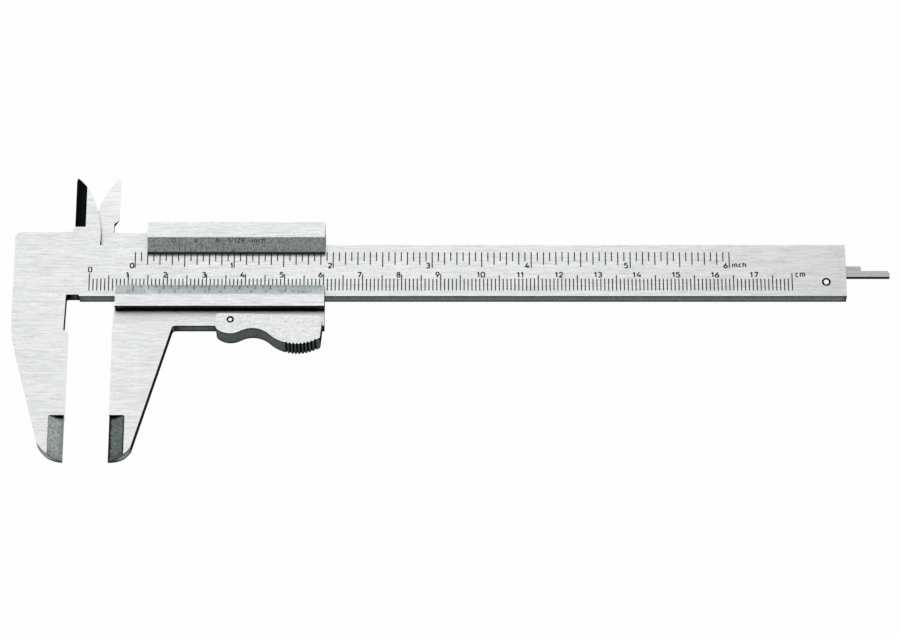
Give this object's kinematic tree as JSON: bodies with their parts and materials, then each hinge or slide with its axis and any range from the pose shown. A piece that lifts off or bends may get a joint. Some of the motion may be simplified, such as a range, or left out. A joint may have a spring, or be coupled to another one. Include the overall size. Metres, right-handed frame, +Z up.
{
  "type": "vernier pocket caliper",
  "caption": "Steel vernier pocket caliper with outside jaws, crossed inside knife jaws, depth rod and a thumb lever that frees the slider.",
  "frame": {"origin": "centre of the fixed outside jaw's measuring face, in the middle of the beam's thickness", "axes": "+X along the beam towards the depth rod's free end, +Y from the outside jaws towards the inside jaws, +Z up out of the graduated side; the caliper lies on its back"},
  "size_m": [0.2248, 0.0799, 0.0083],
  "materials": {
    "beam_steel": "fine lengthwise brushing, satin",
    "slider_steel": "fine lengthwise brushing, satin",
    "lever_steel": "satin, cross-ground edges",
    "rod_steel": "drawn and ground",
    "plate_steel": "rolled sheet, satin",
    "pin_steel": "bright turned ends",
    "plunger_steel": "turned",
    "spring_steel": "drawn spring wire",
    "strip_bronze": "rolled bronze strip",
    "screw_steel": "dark turned screws"
  },
  "bodies": {
    "beam": {"beam": "beam_steel", "rod_guide_plate": "plate_steel", "end_pin": "pin_steel"},
    "slider": {"slider": "slider_steel", "depth_rod": "rod_steel", "rod_rivets": "pin_steel", "lever_pivot_pin": "pin_steel", "clamp_plunger": "plunger_steel", "lever_spring": "spring_steel", "friction_strip": "strip_bronze", "adjusting_screws": "screw_steel"},
    "lever": {"thumb_lever": "lever_steel"}
  },
  "joints": [
    {"name": "slider_slide", "type": "slide", "parent": "beam", "child": "slider", "axis": [1, 0, 0], "range_m": [-0.0114, 0.1286]},
    {"name": "lever_press", "type": "hinge", "parent": "slider", "child": "lever", "pos_m": [0.0415, 0.02035, 0], "axis": [0, 0, 1], "range_deg": [0, 3.5], "stiffness_Nm_per_rad": 0.1, "springref_deg": -20.05, "deforming": ["lever_spring"]}
  ]
}
